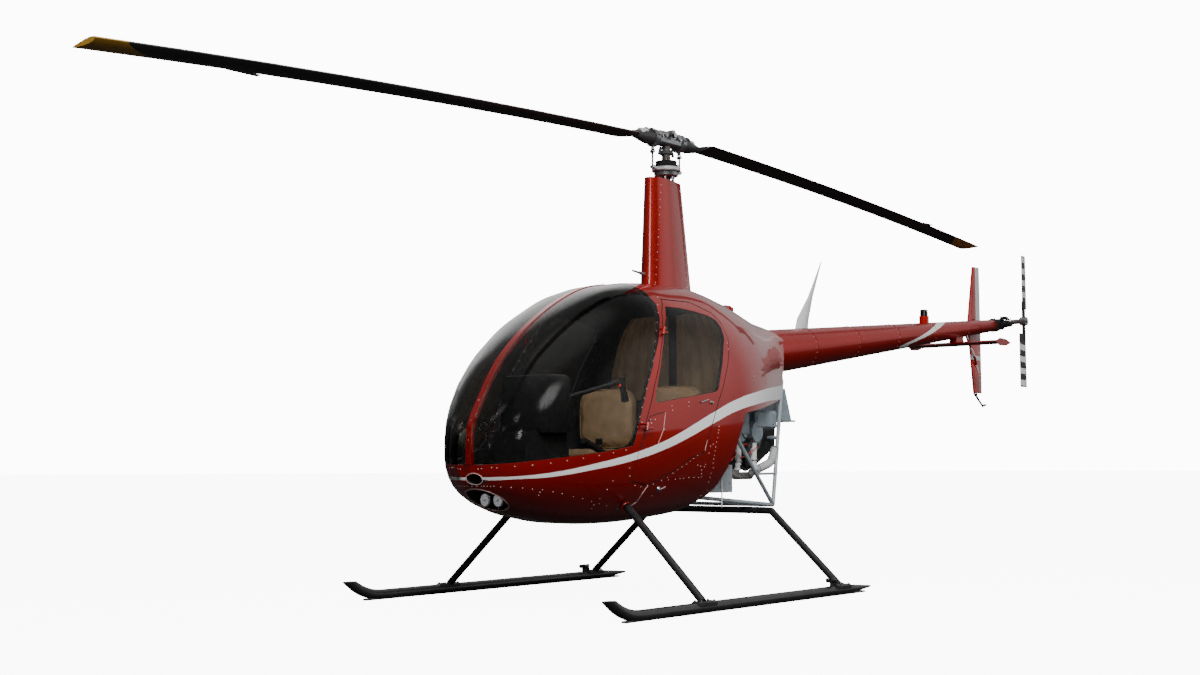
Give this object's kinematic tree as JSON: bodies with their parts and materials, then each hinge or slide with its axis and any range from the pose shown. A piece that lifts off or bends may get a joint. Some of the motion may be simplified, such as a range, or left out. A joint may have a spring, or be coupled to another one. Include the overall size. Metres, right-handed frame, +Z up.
{
  "type": "two-seat light helicopter",
  "caption": "Two-seat light helicopter on skids with a glazed cabin, hinged doors, an open engine bay, a slim tail boom, a main rotor and a tail rotor.",
  "frame": {"origin": "centre of the bounding box at floor level", "axes": "+Z up, nose toward -Y, +X to port (the pilot's left)"},
  "size_m": [1.92, 8.2726, 2.7334],
  "materials": {
    "red_paint": "deep metallic red gloss paint",
    "black_paint": "satin black paint",
    "grey_frame": "light grey paint on welded steel tube and engine shrouds",
    "bare_metal": "machined aluminium and plated steel",
    "steel": "plain steel",
    "glass": "tinted acrylic",
    "tan_leather": "tan leather upholstery",
    "black_plastic": "black moulded plastic",
    "carpet": "dark cabin trim",
    "white_plastic": "white moulded composite",
    "dark_engine": "dark painted castings"
  },
  "bodies": {
    "airframe": {"antenna_whip": "white_plastic", "beacon": "red_paint", "bulkhead": "carpet", "cabin_floor": "carpet", "cabin_frame": "red_paint", "centre_post": "red_paint", "collective_lever": "black_plastic", "cowl_aft": "red_paint", "cross_tube_front": "black_paint", "cross_tube_rear": "black_paint", "cyclic_stick": "black_plastic", "engine_block": "dark_engine", "engine_cylinders_port": "grey_frame", "engine_cylinders_starboard": "grey_frame", "engine_frame": "grey_frame", "exhaust_port": "steel", "exhaust_starboard": "steel", "fan_scroll": "dark_engine", "fin_lower": "red_paint", "fin_upper": "red_paint", "firewall_box": "grey_frame", "fuel_cap": "red_paint", "hull_lower": "red_paint", "instrument_console": "black_plastic", "landing_lamps": "black_plastic", "mast_fairing": "red_paint", "pedals_port": "black_plastic", "pedals_starboard": "black_plastic", "seat_back_port": "tan_leather", "seat_back_starboard": "tan_leather", "seat_base": "carpet", "seat_cushion_port": "tan_leather", "seat_cushion_starboard": "tan_leather", "skid_port": "black_paint", "skid_starboard": "black_paint", "stabiliser": "red_paint", "swashplate_fixed": "bare_metal", "tail_boom": "red_paint", "tail_gearbox": "black_paint", "tail_guard": "white_plastic", "tail_skid": "black_paint", "windshield_port": "glass", "windshield_starboard": "glass"},
    "door_port": {"door_port": "red_paint", "door_window_port": "glass"},
    "door_starboard": {"door_starboard": "red_paint", "door_window_starboard": "glass"},
    "main_rotor": {"blade_aft": "black_paint", "blade_fore": "black_paint", "rotor_hub": "bare_metal", "rotor_shaft": "steel", "swashplate_turning": "bare_metal"},
    "tail_rotor": {"tail_blade_down": "black_paint", "tail_blade_up": "black_paint", "tail_rotor_hub": "bare_metal"}
  },
  "joints": [
    {"name": "main_rotor_spin", "type": "hinge", "parent": "airframe", "child": "main_rotor", "pos_m": [0, -0.3263, 2.6], "axis": [0, 0, 1], "continuous": true},
    {"name": "tail_rotor_spin", "type": "hinge", "parent": "airframe", "child": "tail_rotor", "pos_m": [0.223, 4.0617, 1.871], "axis": [-1, 0, 0], "continuous": true},
    {"name": "door_port_hinge", "type": "hinge", "parent": "airframe", "child": "door_port", "pos_m": [0.566, -1.2283, 0.93], "axis": [0.0939, -0.3755, -0.922], "range_deg": [0, 80]},
    {"name": "door_starboard_hinge", "type": "hinge", "parent": "airframe", "child": "door_starboard", "pos_m": [-0.566, -1.2283, 0.93], "axis": [0.0939, 0.3755, 0.922], "range_deg": [0, 80]}
  ],
  "couplings": [
    {"joint": "tail_rotor_spin", "follows": "main_rotor_spin", "ratio": 6.409}
  ]
}
